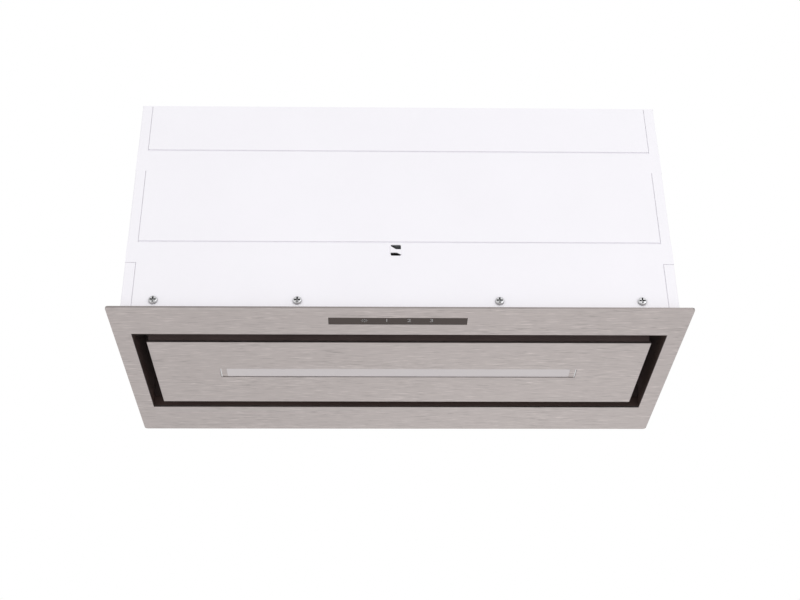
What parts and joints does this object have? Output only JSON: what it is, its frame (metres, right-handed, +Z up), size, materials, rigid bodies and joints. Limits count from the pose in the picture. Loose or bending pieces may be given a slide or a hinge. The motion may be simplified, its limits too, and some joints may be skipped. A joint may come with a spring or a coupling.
{
  "type": "built-in range hood",
  "caption": "Built-in range hood for a cabinet: thin steel trim frame, drop-down perimeter panel with a light strip, touch control, white casing, blower and duct collar.",
  "frame": {"origin": "middle of the rim's seat, the plane where the trim frame's hem meets the cabinet's underside", "axes": "+X to the right seen from the front, -Y to the front, +Z up"},
  "size_m": [0.52, 0.247, 0.2715],
  "materials": {
    "stainless": "brushed along the length",
    "white_paint": "satin powder coat",
    "zinc": "zinc plated",
    "dark_paint": "dark matt coat",
    "galvanised": "galvanised sheet",
    "touch_glass": "dark printed glass",
    "opal": "opal, satin",
    "aluminium": "mill finish",
    "circuit": "solder mask",
    "magnet": "plated",
    "black_plastic": "fine moulded texture",
    "cream_plastic": "moulded",
    "motor_coat": "satin",
    "rubber": "matt"
  },
  "bodies": {
    "hood": {"trim_frame": "stainless", "front_lower_panel": "white_paint", "front_middle_panel": "white_paint", "front_upper_panel": "white_paint", "left_side_panel": "white_paint", "right_side_panel": "white_paint", "back_panel": "white_paint", "top_panel": "white_paint", "front_frame_angle": "zinc", "rear_frame_angle": "zinc", "front_edge_screws": "zinc", "back_panel_screws": "zinc", "side_panel_screws": "zinc", "collar_screws": "zinc", "left_hinge_bracket": "zinc", "right_hinge_bracket": "zinc", "hinge_pins": "zinc", "filter_ledge": "zinc", "latch_catch": "zinc", "motor_bracket": "zinc", "damper_rod": "zinc", "collector_tray": "dark_paint", "scroll_wrap": "galvanised", "scroll_left_side": "galvanised", "scroll_right_side": "galvanised", "touch_glass": "touch_glass", "filter_frame": "aluminium", "filter_mesh": "aluminium", "run_capacitor": "aluminium", "control_board": "circuit", "catch_magnets": "magnet", "control_housing": "black_plastic", "magnet_catches": "black_plastic", "latch_guide": "black_plastic", "terminal_box": "black_plastic", "terminal_lid": "black_plastic", "inlet_rings": "black_plastic", "cable_gland": "black_plastic", "duct_collar": "black_plastic", "collar_flange": "black_plastic", "terminal_block": "cream_plastic", "motor_body": "motor_coat", "motor_bushes": "rubber"},
    "panel": {"panel_skin": "stainless", "panel_back_pan": "dark_paint", "light_lens": "opal", "light_channel": "aluminium", "light_board": "circuit", "left_hinge_ear": "zinc", "right_hinge_ear": "zinc", "strike_plates": "zinc"},
    "latch": {"filter_latch": "black_plastic"},
    "fan": {"fan_wheel": "black_plastic", "motor_shaft": "zinc"},
    "front_flap": {"front_damper_flap": "black_plastic"},
    "rear_flap": {"rear_damper_flap": "black_plastic"}
  },
  "joints": [
    {"name": "panel_hinge", "type": "hinge", "parent": "hood", "child": "panel", "pos_m": [0, 0.0535, 0.014], "axis": [1, 0, 0], "range_deg": [0, 85]},
    {"name": "filter_latch_slide", "type": "slide", "parent": "hood", "child": "latch", "axis": [0, 1, 0], "range_m": [0, 0.005], "stiffness_N_per_m": 400, "springref_m": -0.004},
    {"name": "fan_spin", "type": "hinge", "parent": "hood", "child": "fan", "pos_m": [0, -0.0335, 0.1332], "axis": [1, 0, 0], "continuous": true},
    {"name": "front_flap_swing", "type": "hinge", "parent": "hood", "child": "front_flap", "pos_m": [0, 0.0155, 0.2499], "axis": [-1, 0, 0], "range_deg": [0, 70]},
    {"name": "rear_flap_swing", "type": "hinge", "parent": "hood", "child": "rear_flap", "pos_m": [0, 0.0155, 0.2499], "axis": [1, 0, 0], "range_deg": [0, 70]}
  ]
}
